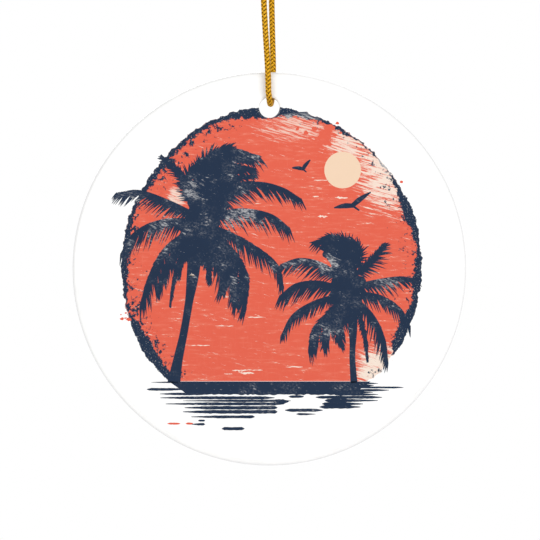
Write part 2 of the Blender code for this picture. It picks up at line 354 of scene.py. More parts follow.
top_stretches = [strand_stretch(0.0, LOOP_CUTS[0], end) for end in (False, True)]
upper_strands = braided_piece("upper_strands", top_stretches)
middle_stretches = [strand_stretch(*LOOP_CUTS, end) for end in (False, True)]
middle_strands = braided_piece("middle_strands", middle_stretches)

bight_first, _ = rows_between(LOOP_CUTS[1], -1.0)
_, bight_last = rows_between(LOOP_CUTS[1], -1.0, from_end=True)
bight_line = loop_line[bight_first : bight_last + 1]
loop_cord = braided_piece("loop_cord", [(bight_line, bight_first * RING_STEP, False)])

# %% [markdown]
# ## The knot and the tails
#
# Both strands are tied together in one overhand knot. Pulled tight, it shows
# as a slanted band of two cords going round, with the strands coming in below
# and the tails coming out above. The path of each strand goes up inside,
# comes out near the top, winds once round while it drops two diameters, dives
# back in and leaves through the top. The inside is hidden, so only the band
# has to be true.

# %% Tie the overhand knot
knot_low, knot_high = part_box("overhand_knot")
KNOT_HALF_WIDTH = (knot_high.x - knot_low.x) / 2 - CORD_RADIUS
KNOT_HALF_DEPTH = (knot_high.y - knot_low.y) / 2 - CORD_RADIUS
BAND_TOP_Z = knot_high.z - CORD_RADIUS - 0.0002
BAND_DROP = 2.06 * CORD_DIAMETER
WIND_START = math.radians(-75)
WIND_TURN = math.radians(370)
WIND_STEPS = 14
STRAND_SIDE = 0.00052  # how far from the middle a strand comes into the knot and leaves it


def knot_path(side, band_offset):
    """One strand's way through the knot; side is -1 for the front strand and 1 for the back one."""
    band_start = BAND_TOP_Z - band_offset
    middle = (BAND_TOP_Z + knot_low.z) / 2
    behind = (side + 1) / 2  # 1 for the back strand, which leaves a little behind the front one

    # Up inside the knot.
    path = [Vector((side * STRAND_SIDE, 0, z)) for z in (-0.0002, 0.0006)]
    path.append(Vector((side * 0.0004, 0.0001, middle)))
    path.append(Vector((0.0002, -0.0001, band_start - 0.0002)))
    # Once round, slowly at first and at last, and pulled in at both ends of the band.
    for step in range(WIND_STEPS + 1):
        share = step / WIND_STEPS
        turn = WIND_START + share * WIND_TURN
        slope = 0.35 * share + 0.65 * share * share * (3 - 2 * share)
        ease = 0.75 + 0.25 * min(1, 6 * share, 6 * (1 - share))
        x = KNOT_HALF_WIDTH * ease * math.cos(turn)
        y = KNOT_HALF_DEPTH * ease * math.sin(turn)
        path.append(Vector((x, y, band_start - BAND_DROP * slope)))
    # Back in and out through the top.
    path.append(Vector((0.0003, 0.0, band_start - BAND_DROP * 0.8)))
    path.append(Vector((side * 0.0003, 0.0002, middle + 0.0003)))
    path.append(Vector((side * 0.0005, -0.0001 + behind * 0.0003, BAND_TOP_Z)))
    path.append(Vector((side * STRAND_SIDE, -0.00015 + behind * 0.0004, knot_high.z + 0.0004)))
    return evenly_spaced(smooth_curve(path, substeps=10), RING_STEP)


knot_stretches = [(knot_path(-1, 0.0), 0.0, False), (knot_path(1, CORD_DIAMETER * 1.03), 0.0, False)]
knot_cord = braided_piece("knot_cord", knot_stretches)

# %% Grow the two tails
# Millimetres sideways, in depth and over the tail's foot.
TAIL_POINTS = {
    "front_tail": [
        (-0.55, -0.15, 0.0), (-1.05, -0.30, 1.5), (-2.05, -0.55, 3.2),
        (-3.40, -0.90, 4.7), (-4.95, -1.20, 5.4),
    ],
    "back_tail": [
        (0.50, 0.25, 0.0), (0.75, 0.50, 1.7), (1.45, 0.90, 3.5),
        (2.60, 1.30, 5.0), (4.00, 1.60, 5.9),
    ],
}
TAIL_FOOT = 0.0001  # how far inside its CAD node a tail starts


def tail_line(points, node):
    """A tail's line, standing where its CAD node stands."""
    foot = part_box(node)[0].z + TAIL_FOOT
    route = [Vector((x * MM, y * MM, foot + z * MM)) for x, y, z in points]
    return evenly_spaced(smooth_curve(route), RING_STEP)


tails = {}
for tail_name, tail_points in TAIL_POINTS.items():
    stretch = [(tail_line(tail_points, tail_name), 0.0, True)]
    tails[tail_name] = braided_piece(tail_name + "_cord", stretch)

# %% Hang the cord on its bodies
# Heights between which the cord bends, or twists, at each of its hinges.
SIDE_BEND = (0.0002, -0.0042)
FORE_BEND = (FORE_SWING_Z + 0.003, FORE_SWING_Z - 0.003)
TWIST_BEND = (-0.0165, -0.037)

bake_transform(upper_strands, "knot", "upper_loop", start=(0, 0, SIDE_BEND[0]), end=(0, 0, SIDE_BEND[1]))
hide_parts("front_strand_top", "back_strand_top")
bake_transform(middle_strands, "upper_loop", "middle_loop", start=(0, 0, FORE_BEND[0]), end=(0, 0, FORE_BEND[1]))
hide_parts("front_strand_middle", "back_strand_middle")
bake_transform(loop_cord, "middle_loop", "lower_loop", start=(0, 0, TWIST_BEND[0]), end=(0, 0, TWIST_BEND[1]))
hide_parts("cord_bight")
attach(knot_cord, "knot")
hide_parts("overhand_knot")
for tail_name, tail in tails.items():
    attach(tail, "knot")
    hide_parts(tail_name)
print("heights of the bends:", SIDE_BEND, FORE_BEND, "and of the twist:", TWIST_BEND)

# %% [markdown]
# ## Building materials in code
#
# Every finish here is a small tree of nodes. Short helpers keep the trees
# readable: one adds a node and fills its inputs by name, one does a single sum,
# and the others, such as a soft fade or one colour over another, stand on those
# two. Patterns read Object coordinates, turned into millimetres about the
# disc's centre by a Mapping node, so that a value of 1 in a material means one
# millimetre on the ornament.

# %% Node helpers
def add_node(tree, kind, inputs=None, **options):
    """Add one shader node, set its options, and link or set its inputs."""
    made = tree.nodes.new("ShaderNode" + kind)
    for option, value in options.items():
        setattr(made, option, value)
    for socket, value in (inputs or {}).items():
        if isinstance(value, bpy.types.NodeSocket):
            tree.links.new(value, made.inputs[socket])
        else:
            made.inputs[socket].default_value = value
    return made


def sums(tree, operation, *values):
    """One Math node's result."""
    return add_node(tree, "Math", dict(enumerate(values)), operation=operation).outputs[0]


def fade(tree, value, start, end):
    """0 before start, 1 after end, with a soft change between; start may be the larger."""
    inputs = {"Value": value, "From Min": start, "From Max": end}
    return add_node(tree, "MapRange", inputs, interpolation_type="SMOOTHSTEP").outputs[0]


def all_of(tree, *masks):
    """The product of several masks."""
    result = masks[0]
    for mask in masks[1:]:
        result = sums(tree, "MULTIPLY", result, mask)
    return result


def painted(tree, amount, under, over):
    """One colour laid over another by an amount."""
    made = add_node(tree, "Mix", {0: amount, 6: under, 7: over}, data_type="RGBA", clamp_factor=True)
    return made.outputs[2]


def separated(tree, position):
    """The x, y and z of a position, each on its own."""
    return add_node(tree, "SeparateXYZ", {0: position}).outputs


def noise_at(tree, position, scale, detail=3.0, roughness=0.55, stretch=None, tilt=0.0):
    """Noise centred on 0.5, if need be turned about the depth and squeezed along the axes."""
    if tilt:
        turned = {"Vector": position, "Rotation": (0, math.radians(tilt), 0)}
        position = add_node(tree, "Mapping", turned).outputs[0]
    if stretch:
        position = add_node(tree, "Mapping", {"Vector": position, "Scale": stretch}).outputs[0]
    inputs = {"Vector": position, "Scale": scale, "Detail": detail, "Roughness": roughness}
    return add_node(tree, "TexNoise", inputs).outputs[0]


def stops(tree, value, points):
    """A Color Ramp: points are (place, grey level) or (place, colour)."""
    made = add_node(tree, "ValToRGB", {0: value})
    ramp = made.color_ramp
    while len(ramp.elements) < len(points):
        ramp.elements.new(1.0)
    for element, (place, level) in zip(ramp.elements, points):
        element.position = place
        element.color = level if isinstance(level, tuple) else (level, level, level, 1)
    return made.outputs[0]


def linear(red, green, blue):
    """A colour given as it looks on a screen, 0 to 255, as Blender's linear numbers."""
    levels = [level / 255 for level in (red, green, blue)]
    return (*[v / 12.92 if v <= 0.04045 else ((v + 0.055) / 1.055) ** 2.4 for v in levels], 1)


# %% Start a material or a group
def millimetres(tree):
    """Object coordinates in millimetres about the disc's centre: x to the right, z up."""
    place = add_node(tree, "TexCoord").outputs["Object"]
    shift = tuple(-v / MM for v in DISC_CENTRE)
    return add_node(tree, "Mapping", {"Vector": place, "Location": shift, "Scale": (1 / MM,) * 3}).outputs[0]


def plain_tree(material):
    """A material's emptied tree with a Principled BSDF wired to the output."""
    material.use_nodes = True
    tree = material.node_tree
    tree.nodes.clear()
    shader = add_node(tree, "BsdfPrincipled")
    add_node(tree, "OutputMaterial", {"Surface": shader.outputs[0]})
    return tree, shader


def new_group(name, inputs, outputs):
    """An empty shader group: its tree, its input sockets, and its output node."""
    group = bpy.data.node_groups.new(name, "ShaderNodeTree")
    for socket, kind, value in inputs:
        made = group.interface.new_socket(name=socket, in_out="INPUT", socket_type="NodeSocket" + kind)
        if value is not None:
            made.default_value = value
    for socket, kind in outputs:
        group.interface.new_socket(name=socket, in_out="OUTPUT", socket_type="NodeSocket" + kind)
    entry = group.nodes.new("NodeGroupInput")
    return group, {socket.name: socket for socket in entry.outputs}, group.nodes.new("NodeGroupOutput")


def use_group(tree, group, inputs):
    """Place a group in a tree and give back its outputs."""
    made = tree.nodes.new("ShaderNodeGroup")
    made.node_tree = group
    for socket, value in inputs.items():
        if isinstance(value, bpy.types.NodeSocket):
            tree.links.new(value, made.inputs[socket])
        else:
            made.inputs[socket].default_value = value
    return made.outputs


# %% [markdown]
# ## Metallic yarn
#
# The yarn is thin plastic film with a gold metal layer, cut into slivers and
# twisted. It shines along the yarn and breaks into fine lengthwise threads.
# The mesh already carries how far each point is across its yarn and how high
# it stands in the cord, and the material reads those two rather than guessing
# the pits from a texture. It paints shade, brown and dark, where a yarn dips
# under its neighbour, along each yarn's edges and between its threads, and
# painted light on the crowns.

# %% Gold braid
# Lit and shaded copies of one gold: painted light on the yarn crowns, then painted shade down to the darkest in
# the pits.
GOLD_CROWN_LIT = linear(232, 174, 34)
GOLD_MID = linear(192, 139, 8)
GOLD_SHADE = linear(118, 82, 2)
GOLD_PIT_SHADE = linear(42, 25, 1)


def make_gold_braid(material):
    tree, shader = plain_tree(material)
    across = add_node(tree, "Attribute", attribute_name="across_yarn").outputs["Fac"]
    height = add_node(tree, "Attribute", attribute_name="height_in_cord").outputs["Fac"]
    place = add_node(tree, "TexCoord").outputs["Object"]
    mottle = noise_at(tree, place, 2600, detail=4)
    threads = sums(tree, "SINE", sums(tree, "MULTIPLY", sums(tree, "ADD", across, mottle), 16.0))
    lift = sums(tree, "ADD", height, sums(tree, "MULTIPLY", mottle, 0.12))
    # Painted shade and light by how high a point stands in the cord: dark in the pits, light on the crowns.
    levels = [(0.55, GOLD_PIT_SHADE), (0.74, GOLD_SHADE), (0.90, GOLD_MID), (1.0, GOLD_CROWN_LIT)]
    gold = stops(tree, lift, levels)
    thread_shade = all_of(tree, fade(tree, threads, 0.3, -0.9), 0.3)
    colour = painted(tree, thread_shade, gold, GOLD_SHADE)
    # Painted shade along each yarn's edges, where it meets its neighbours.
    crease_shade = all_of(tree, fade(tree, sums(tree, "ABSOLUTE", across), 0.65, 1.0), 0.6)
    colour = painted(tree, crease_shade, colour, GOLD_PIT_SHADE)
    tree.links.new(colour, shader.inputs["Base Color"])
    shader.inputs["Metallic"].default_value = 0.8
    roughness = sums(tree, "MULTIPLY_ADD", mottle, 0.3, 0.28)
    tree.links.new(roughness, shader.inputs["Roughness"])
    bump_inputs = {"Height": threads, "Strength": 0.35, "Distance": 0.00002}
    tree.links.new(add_node(tree, "Bump", bump_inputs).outputs[0], shader.inputs["Normal"])
    print("gold braid has", len(tree.nodes), "nodes")


make_gold_braid(gold_braid)

# %% [markdown]
# ## The ceramic blank
#
# The disc is cast flat with a rounded rim and one hole near the edge. Two
# circles would be enough for the outline, but a third and a fourth one just
# inside the rounded edges keep the flat faces flat when the mesh is smoothly
# shaded. Bridged and extruded, they make the slab, and bevels round the rim
# and the hole's edges.

# %% Cast the disc
RIM_RADIUS = 0.0009
SHADING_MARGIN = 0.00004  # how far inside a rounding the circle that keeps the face flat lies
DISC_SEGMENTS = 192


def circle_edges(bm, radius, height):
    """A circle in the flat, and its edges."""
    made = bmesh.ops.create_circle(bm, segments=DISC_SEGMENTS, radius=radius)
    bmesh.ops.translate(bm, verts=made["verts"], vec=(0, height, 0))
    return list(dict.fromkeys(edge for vert in made["verts"] for edge in vert.link_edges))


def edges_at(bm, radius, height, tolerance=1e-6):
    """The edges that run round a circle, on both faces of the slab."""
    def on_circle(vert):
        return abs(math.hypot(vert.co.x, vert.co.y - height) - radius) < tolerance
    flat = [edge for edge in bm.edges if abs(edge.verts[0].co.z - edge.verts[1].co.z) < tolerance]
    return [edge for edge in flat if all(on_circle(vert) for vert in edge.verts)]


def make_blank():
    bm = bmesh.new()
    loops = [
        circle_edges(bm, DISC_RADIUS, 0),
        circle_edges(bm, DISC_RADIUS - RIM_RADIUS - SHADING_MARGIN, 0),
        circle_edges(bm, HOLE_RADIUS + HOLE_EDGE_RADIUS + SHADING_MARGIN, HOLE_DROP),
        circle_edges(bm, HOLE_RADIUS, HOLE_DROP),
    ]
    for outer, inner in zip(loops, loops[1:]):
        bmesh.ops.bridge_loops(bm, edges=outer + inner)
    raised = bmesh.ops.extrude_face_region(bm, geom=list(bm.faces))["geom"]
    lifted = [part for part in raised if isinstance(part, bmesh.types.BMVert)]
    bmesh.ops.translate(bm, verts=lifted, vec=(0, 0, 2 * HALF_BLANK))
    for radius, height, rounding, segments in (
        (DISC_RADIUS, 0, RIM_RADIUS, 9),
        (HOLE_RADIUS, HOLE_DROP, HOLE_EDGE_RADIUS, 6),
    ):
        bmesh.ops.bevel(
            bm, geom=edges_at(bm, radius, height), offset=rounding, offset_type="OFFSET",
            affect="EDGES", segments=segments, profile=0.5, material=-1,
        )
    bmesh.ops.recalc_face_normals(bm, faces=bm.faces)
    stand_up(bm, DISC_CENTRE.y + HALF_BLANK)
    return finished_piece("glazed_disc", bm)


def stand_up(bm, depth):
    """Turn a flat drawing to face the front about the disc's centre, its underside at this depth."""
    turn = Matrix.Rotation(math.radians(90), 3, "X")
    bmesh.ops.rotate(bm, verts=bm.verts, cent=(0, 0, 0), matrix=turn)
    bmesh.ops.translate(bm, verts=bm.verts, vec=(DISC_CENTRE.x, depth, DISC_CENTRE.z))


glazed_disc = make_blank()
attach(glazed_disc, "disc")
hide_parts("ceramic_blank")

# %% [markdown]
# ## Glaze and coat
#
# A fired glaze is never as flat as plastic: it pools in waves a few
# millimetres long, holds pinholes, and greys a little on the rim where it runs
# thin, and that grey is also painted shade that keeps the white rim's outline.
# The same gentle waviness lies under the printed coat, so it is one node
# group with its own amount in each material.

# %% Waviness shared by glaze and coats
def make_surface_waves():
    group, given, out = new_group(
        "surface_waves",
        [("Position", "Vector", None), ("Waves", "Float", 1.0), ("Pinholes", "Float", 1.0)],
        [("Normal", "Vector"), ("Marks", "Float")],
    )
    slow = noise_at(group, given["Position"], 0.22, detail=2)
    quick = noise_at(group, given["Position"], 2.4, detail=3)
    cells = add_node(group, "TexVoronoi", {"Vector": given["Position"], "Scale": 0.55}).outputs["Distance"]
    pinhole = all_of(group, fade(group, cells, 0.055, 0.02), fade(group, quick, 0.5, 0.6), given["Pinholes"])
    waves = sums(group, "MULTIPLY_ADD", quick, 0.12, slow)
    height = sums(group, "SUBTRACT", sums(group, "MULTIPLY", waves, given["Waves"]), pinhole)
    bump = add_node(group, "Bump", {"Height": height, "Strength": 0.12, "Distance": 0.00008})
    group.links.new(bump.outputs[0], out.inputs["Normal"])
    group.links.new(pinhole, out.inputs["Marks"])
    print("surface waves has", len(group.nodes), "nodes")
    return group


surface_waves = make_surface_waves()

# %% [markdown]
# ## The printed picture
#
# The picture is a tropical evening: a coral sky, a brushed navy ring round it,
# two palms, two birds, a pale moon and dark water. Dye under a clear coat has
# no thickness to speak of, so the soft and ragged parts, which are the sky, the
# ring and the washes, are painted by nodes. The crisp shapes are cut from ink
# film instead, later on.
#
# The ring is drawn in polar form. A ramp round the clock says how far out the
# ring runs and a second one how wide the brush was pressed. Coarse noise makes
# the outer edge wander, and fine noise breaks the inner one, where the bristles
# left grit behind.

# %% Choose the inks
CORAL = linear(222, 94, 71)
CORAL_PALE = linear(232, 136, 112)
NAVY = linear(16, 39, 66)
NAVY_WORN = linear(186, 186, 188)
CREAM = linear(235, 206, 178)
WASH = linear(239, 221, 206)
PAPER = linear(252, 252, 251)
SKY_CENTRE = (0.3, 2.2)
HORIZON = -20.8
print("coral in linear numbers:", [round(level, 3) for level in CORAL[:3]])

# %% Choose the ring, its wear and the washes
# Share of the way round, from the bottom by the left side; then millimetres.
RING_REACH = [
    (0.00, 29.0), (0.12, 29.5), (0.18, 28.6), (0.25, 27.3), (0.30, 27.1), (0.34, 26.7), (0.39, 26.9),
    (0.44, 27.4), (0.50, 27.6), (0.57, 27.1), (0.63, 27.0), (0.68, 27.1), (0.71, 27.5), (0.74, 27.6),
    (0.78, 28.0), (0.82, 28.4), (0.845, 28.8), (0.88, 29.3), (1.00, 29.0),
]
RING_WIDTH = [
    (0.09, 0.5), (0.12, 1.5), (0.15, 2.2), (0.178, 1.5), (0.19, 0.1), (0.20, 0.2), (0.215, 1.0),
    (0.25, 1.1), (0.30, 0.8), (0.34, 1.1), (0.39, 0.8), (0.435, 0.8), (0.46, 1.0), (0.475, 1.9),
    (0.50, 2.3), (0.53, 1.2), (0.555, 0.6), (0.58, 0.8), (0.60, 0.25), (0.655, 0.3), (0.68, 1.3),
    (0.705, 2.2), (0.735, 0.7), (0.775, 1.7), (0.80, 0.9), (0.825, 2.2), (0.848, 1.6), (0.86, 0.0),
]
# Middle and radii of the pale patches dragged over the ring.
RING_SMEARS = [((5.2, 27.6), (4.6, 1.5)), ((21.3, 18.9), (2.6, 2.6))]
# Place round the clock; then how much grit lies inside the ring.
GRITTINESS = [
    (0.08, 0.02), (0.12, 0.16), (0.22, 0.14), (0.30, 0.09), (0.36, 0.16), (0.44, 0.13), (0.50, 0.06),
    (0.60, 0.0), (0.70, 0.13), (0.82, 0.09), (0.90, 0.0),
]
# Middle, radii, and how fully the wash covers the coral.
WASHES = [
    ((22.5, 18.5), (8.0, 10.5), 0.95),  # beside the moon
    ((14.6, 23.4), (5.6, 3.6), 0.9),  # over the moon
    ((5.0, 26.2), (10.0, 3.8), 0.70),  # under the ring's top
    ((20.8, -18.6), (6.0, 6.0), 1.1),  # low on the right
    ((-17.2, 13.0), (2.2, 3.4), 0.85),  # by the left crown
]
print(len(RING_WIDTH), "pressures of the brush round the ring, and", len(WASHES), "washes")

# %% Measure round the clock and about a centre
def clock_ramp(tree, share, points):
    """A value that changes round the clock."""
    lowest, highest = min(value for _, value in points), max(value for _, value in points)
    grey = [(place, (value - lowest) / (highest - lowest)) for place, value in points]
    return sums(tree, "MULTIPLY_ADD", stops(tree, share, grey), highest - lowest, lowest)


def ellipse(tree, x, z, centre, radii):
    """Distance from a centre as a share of an ellipse's radii."""
    across = sums(tree, "DIVIDE", sums(tree, "SUBTRACT", x, centre[0]), radii[0])
    up = sums(tree, "DIVIDE", sums(tree, "SUBTRACT", z, centre[1]), radii[1])
    squares = sums(tree, "ADD", sums(tree, "POWER", across, 2.0), sums(tree, "POWER", up, 2.0))
    return sums(tree, "SQRT", squares)


# %% Brush the ring
def brushed_ring(group, z, share, inward, sky, lumps, grit):
    """Where navy lies: the ring, ragged on its inside, and the grit thrown inwards from it."""
    width = clock_ramp(group, share, RING_WIDTH)
    off_line = sums(group, "ABSOLUTE", sums(group, "MULTIPLY_ADD", width, -0.32, inward))
    pressed = sums(group, "SUBTRACT", sums(group, "MULTIPLY", width, 0.5), off_line)
    raggedness = sums(group, "MULTIPLY_ADD", fade(group, inward, -0.1, 0.7), 1.3, 0.4)
    pressed = sums(group, "MULTIPLY_ADD", sums(group, "SUBTRACT", grit, 0.5), raggedness, pressed)
    wide_enough = fade(group, width, 0.05, 0.25)
    above_water = fade(group, z, HORIZON - 0.4, HORIZON)
    ring = all_of(group, fade(group, pressed, -0.06, 0.06), wide_enough, above_water)

    thrown = sums(group, "ADD", grit, lumps)
    thrown = sums(group, "MULTIPLY_ADD", sums(group, "ABSOLUTE", inward), -0.06, thrown)
    thrown = sums(group, "ADD", thrown, clock_ramp(group, share, GRITTINESS))
    specks = all_of(group, fade(group, thrown, 0.60, 0.63), fade(group, inward, -0.6, 0.0), sky)
    return sums(group, "MAXIMUM", ring, specks)


def worn_navy(group, position, x, z, bristles):
    """Navy with pale flecks in it, and with the smears dragged over the ring."""
    fleck = all_of(group, fade(group, noise_at(group, position, 4.0, detail=3), 0.60, 0.68), 0.7)
    smears = [fade(group, ellipse(group, x, z, *smear), 1.0, 0.5) for smear in RING_SMEARS]
    smeared = all_of(group, sums(group, "MAXIMUM", *smears), fade(group, bristles, 0.40, 0.72))
    return painted(group, sums(group, "MAXIMUM", fleck, smeared), NAVY, NAVY_WORN)


# %% Wash the sky
def washed(group, x, z, bristles, colour):
    """The colour, with pale washes where the brush ran dry."""
    for centre, radii, most in WASHES:
        near = ellipse(group, x, z, centre, radii)
        cover = sums(group, "MULTIPLY_ADD", fade(group, near, 1.25, 0.3), 0.85 * most, -0.8)
        dry = fade(group, sums(group, "ADD", bristles, cover), 0.12, 0.50)
        colour = painted(group, all_of(group, dry, min(most, 1.0)), colour, WASH)
    return colour


# %% Put the evening sky together
def make_evening_sky():
    group, given, out = new_group(
        "evening_sky",
        [("Position", "Vector", None), ("Paper", "Color", PAPER)],
        [("Colour", "Color"), ("Ink", "Float")],
    )
    position = given["Position"]
    x, _, z = separated(group, position)
    lumps = sums(group, "SUBTRACT", noise_at(group, position, 0.75, detail=4, roughness=0.55), 0.5)
    grit = noise_at(group, position, 2.3, detail=4, roughness=0.65)
    streaks = noise_at(group, position, 1.0, detail=4, roughness=0.65, stretch=(0.35, 1, 3.2))
    canvas = noise_at(group, position, 1.3, detail=4, roughness=0.7, stretch=(3.0, 1, 0.25))
    bristles = noise_at(group, position, 1.5, detail=5, roughness=0.75, stretch=(0.20, 1, 2.6), tilt=-16)
    bristles = sums(group, "MULTIPLY_ADD", sums(group, "SUBTRACT", bristles, 0.5), 3.2, 0.5)

    # How far inside the ring's wandering outer edge a point lies.
    across = sums(group, "SUBTRACT", x, SKY_CENTRE[0])
    up = sums(group, "SUBTRACT", z, SKY_CENTRE[1])
    turn = sums(group, "ARCTAN2", across, up)
    share = sums(group, "MULTIPLY_ADD", turn, 1 / (2 * math.pi), 0.5)
    edge = sums(group, "MULTIPLY_ADD", lumps, 1.5, clock_ramp(group, share, RING_REACH))
    inward = sums(group, "SUBTRACT", edge, ellipse(group, x, z, SKY_CENTRE, (1.0, 1.0)))

    # The coral, rubbed and scratched, and then the ring over it.
    above_water = fade(group, z, HORIZON - 0.15, HORIZON + 0.05)
    sky = all_of(group, fade(group, inward, -0.25, 0.05), above_water)
    rubbed = sums(group, "MAXIMUM", fade(group, streaks, 0.50, 0.68), fade(group, canvas, 0.55, 0.75))
    colour = painted(group, all_of(group, rubbed, 0.45), CORAL, CORAL_PALE)
    colour = washed(group, x, z, bristles, colour)
    scratches = all_of(group, fade(group, streaks, 0.66, 0.71), fade(group, grit, 0.42, 0.5))
    colour = painted(group, scratches, colour, WASH)
    colour = painted(group, sky, given["Paper"], colour)
    navy = brushed_ring(group, z, share, inward, sky, lumps, grit)
    colour = painted(group, navy, colour, worn_navy(group, position, x, z, bristles))

    group.links.new(colour, out.inputs["Colour"])
    group.links.new(sums(group, "MAXIMUM", sky, navy), out.inputs["Ink"])
    print("evening sky has", len(group.nodes), "nodes")
    return group


evening_sky = make_evening_sky()

# %% Glaze and coat materials
COAT_ROUGHNESS = 0.16
COAT_IOR = 1.38
GLAZE_ROUGHNESS = 0.12
GLAZE_IOR = 1.5
HOLE_PRINT_REACH = 2.6  # how far from the hole's middle the ink runs over on to the glaze
HOLE_PRINT_EDGE = 1.84  # how near to the hole's middle it stops


def near_hole(tree, x, z, start, end):
    """A mask by the distance from the hole's middle, in millimetres."""
    return fade(tree, ellipse(tree, x, z, (0, HOLE_DROP / MM), (1.0, 1.0)), start, end)


def make_coat(name):
    """A clear gloss coat: its material, tree and shader, the position, and the waviness."""
    material = bpy.data.materials.new(name)
    tree, shader = plain_tree(material)
    position = millimetres(tree)
    surface = use_group(tree, surface_waves, {"Position": position, "Waves": 1.0, "Pinholes": 0.5})
    tree.links.new(surface["Normal"], shader.inputs["Normal"])
    shader.inputs["IOR"].default_value = COAT_IOR
    cloud = noise_at(tree, position, 0.4, detail=3)
    tree.links.new(sums(tree, "MULTIPLY_ADD", cloud, 0.12, COAT_ROUGHNESS - 0.06), shader.inputs["Roughness"])
    return material, tree, shader, position, surface


def make_printed_coat():
    material, tree, shader, position, _ = make_coat("printed_coat")
    colour = use_group(tree, evening_sky, {"Position": position, "Paper": PAPER})["Colour"]
    x, _, z = separated(tree, position)
    outside_hole = near_hole(tree, x, z, HOLE_PRINT_EDGE, HOLE_PRINT_EDGE + 0.08)
    tree.links.new(painted(tree, outside_hole, PAPER, colour), shader.inputs["Base Color"])
    return material


def make_plain_coat():
    material, tree, shader, position, surface = make_coat("plain_coat")
    cloud = noise_at(tree, position, 0.12, detail=4)
    colour = painted(tree, fade(tree, cloud, 0.3, 0.8), PAPER, linear(249, 249, 246))
    colour = painted(tree, all_of(tree, surface["Marks"], 0.5), colour, linear(205, 203, 198))
    scuffs = noise_at(tree, position, 1.5, detail=5, roughness=0.7, stretch=(0.3, 1, 2.5))
    colour = painted(tree, all_of(tree, fade(tree, scuffs, 0.68, 0.74), 0.25), colour, linear(225, 223, 219))
    tree.links.new(colour, shader.inputs["Base Color"])
    return material


def make_glaze():
    material = bpy.data.materials.new("ceramic_glaze")
    tree, shader = plain_tree(material)
    position = millimetres(tree)
    surface = use_group(tree, surface_waves, {"Position": position, "Waves": 1.6, "Pinholes": 1.0})
    tree.links.new(surface["Normal"], shader.inputs["Normal"])
    body = painted(tree, fade(tree, noise_at(tree, position, 0.3), 0.35, 0.7), PAPER, linear(248, 248, 247))
    body = painted(tree, all_of(tree, surface["Marks"], 0.6), body, linear(196, 192, 184))
    x, depth, z = separated(tree, position)
    # The rim is painted a shade greyer: partly glaze running thin, partly painted shade that outlines the white
    # rim.
    rim_distance = ellipse(tree, x, z, (0, 0), (1.0, 1.0))
    thin_glaze_and_rim_shade = fade(tree, rim_distance, DISC_RADIUS / MM - 0.45, DISC_RADIUS / MM)
    body = painted(tree, thin_glaze_and_rim_shade, body, linear(240, 240, 240))

    # The print runs over the hole's rounded front edge.
    sky = use_group(tree, evening_sky, {"Position": position, "Paper": PAPER})
    inside_reach = near_hole(tree, x, z, HOLE_PRINT_REACH + 0.1, HOLE_PRINT_REACH)
    outside_hole = near_hole(tree, x, z, HOLE_PRINT_EDGE, HOLE_PRINT_EDGE + 0.08)
    in_front = fade(tree, depth, -1.12, -1.2)
    run_over = all_of(tree, inside_reach, outside_hole, in_front, sky["Ink"])
    tree.links.new(painted(tree, run_over, body, sky["Colour"]), shader.inputs["Base Color"])
    shader.inputs["Roughness"].default_value = GLAZE_ROUGHNESS
    shader.inputs["IOR"].default_value = GLAZE_IOR
    print("ceramic glaze has", len(tree.nodes), "nodes")
    return material


glazed_disc.data.materials.append(make_glaze())
frame["nodes"]["front_coat"].material_slots[0].material = make_printed_coat()
frame["nodes"]["back_coat"].material_slots[0].material = make_plain_coat()

# %% [markdown]
# ## Cutting the ink film
#
# The crisp shapes are drawn flat in millimetres, as a stencil cutter would get
# them: leaves, stems, strokes of water, birds. Leaves lie across one another
# by the hundred, and overlapping film would be a mess of faces inside faces,
# so a triangulation first joins all outlines of one layer into a single flat
# region, which is extruded by a hundredth of a millimetre. A palm has one
# layer for each frond, and each layer is a hair thicker than the one before,
# so no two tops lie in the same plane. The film also gets a flat UV map, the
# drawing seen from the front, for anyone who bakes it.

# %% Cut a drawing out of film
FILM_THICKNESS = 0.00001
LAYER_STEP = 0.0000004  # how much thicker each layer is than the one before
FILM_SINK = 0.000003  # how deep the film's underside lies in the coat


def join_outlines(bm, outlines):
    """Lay overlapping outlines, in millimetres, into a bmesh as one flat region."""
    points, cells = [], []
    for outline in outlines:
        cells.append(list(range(len(points), len(points) + len(outline))))
        points += [Vector((x, z)) for x, z in outline]
    joined_points, _, triangles, *_ = delaunay_2d_cdt(points, [], cells, 1, 1e-5)
    verts = [bm.verts.new((point.x * MM, point.y * MM, 0)) for point in joined_points]
    faces = [bm.faces.new([verts[index] for index in triangle]) for triangle in triangles]
    loose = [vert for vert in verts if not vert.link_faces]
    bmesh.ops.delete(bm, geom=loose, context="VERTS")
    return faces


def cut_film(name, layers, material):
    """A piece of thin closed slabs, one for each layer of outlines, laid on the printed coat."""
    bm = bmesh.new()
    for number, outlines in enumerate(layers):
        faces = join_outlines(bm, outlines)
        raised = bmesh.ops.extrude_face_region(bm, geom=faces)["geom"]
        lifted = [part for part in raised if isinstance(part, bmesh.types.BMVert)]
        bmesh.ops.translate(bm, verts=lifted, vec=(0, 0, FILM_THICKNESS + number * LAYER_STEP))
    bmesh.ops.recalc_face_normals(bm, faces=bm.faces)
    flat_map = bm.loops.layers.uv.new("OFBake")
    low = [min(vert.co[axis] for vert in bm.verts) for axis in (0, 1)]
    size = max(max(vert.co[axis] for vert in bm.verts) - low[axis] for axis in (0, 1))
    for face in bm.faces:
        for corner in face.loops:
            corner[flat_map].uv = [(corner.vert.co[axis] - low[axis]) / size for axis in (0, 1)]
    stand_up(bm, PRINT_FACE_Y + FILM_SINK)
    piece = finished_piece(name, bm, smooth=False)
    piece.data.materials.append(material)
    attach(piece, "disc")


